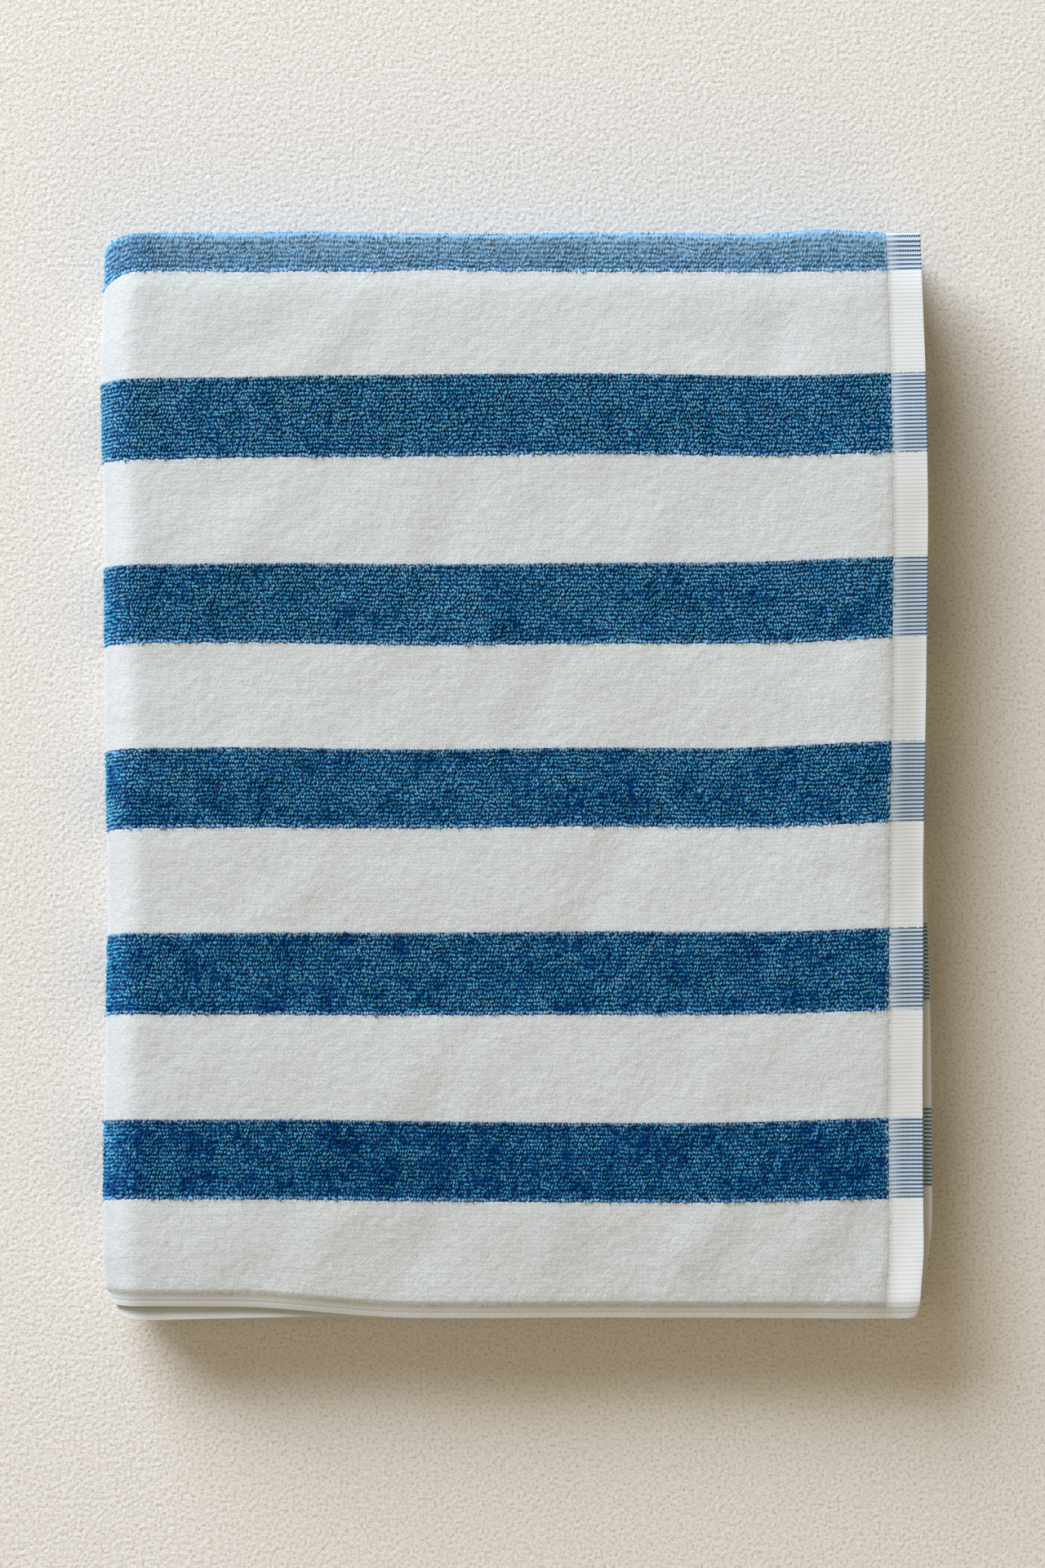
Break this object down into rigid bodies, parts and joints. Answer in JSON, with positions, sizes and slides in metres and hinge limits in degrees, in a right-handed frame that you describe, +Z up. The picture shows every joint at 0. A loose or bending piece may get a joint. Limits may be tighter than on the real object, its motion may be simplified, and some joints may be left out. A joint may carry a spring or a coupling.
{
  "type": "folded bath towel",
  "caption": "Striped cotton terry bath towel folded flat into a stack of layers, with flat-woven headers and narrow side hems.",
  "frame": {"origin": "middle of the folded towel's footprint, on the surface that it rests on", "axes": "+X towards the flat-woven headers, away from the large round fold; +Y towards the widthwise fold, away from the selvedges; +Z up"},
  "size_m": [0.3868, 0.5076, 0.0383],
  "materials": {
    "white_terry": "matt white cotton loop pile, soft and slightly uneven",
    "blue_terry": "matt mid-blue cotton loop pile, darker between the loops",
    "flat_weave": "flat-woven white cotton header and hems, with fine blue warp lines in the stripes"
  },
  "bodies": {
    "root": {"towel": "white_terry"}
  },
  "joints": []
}
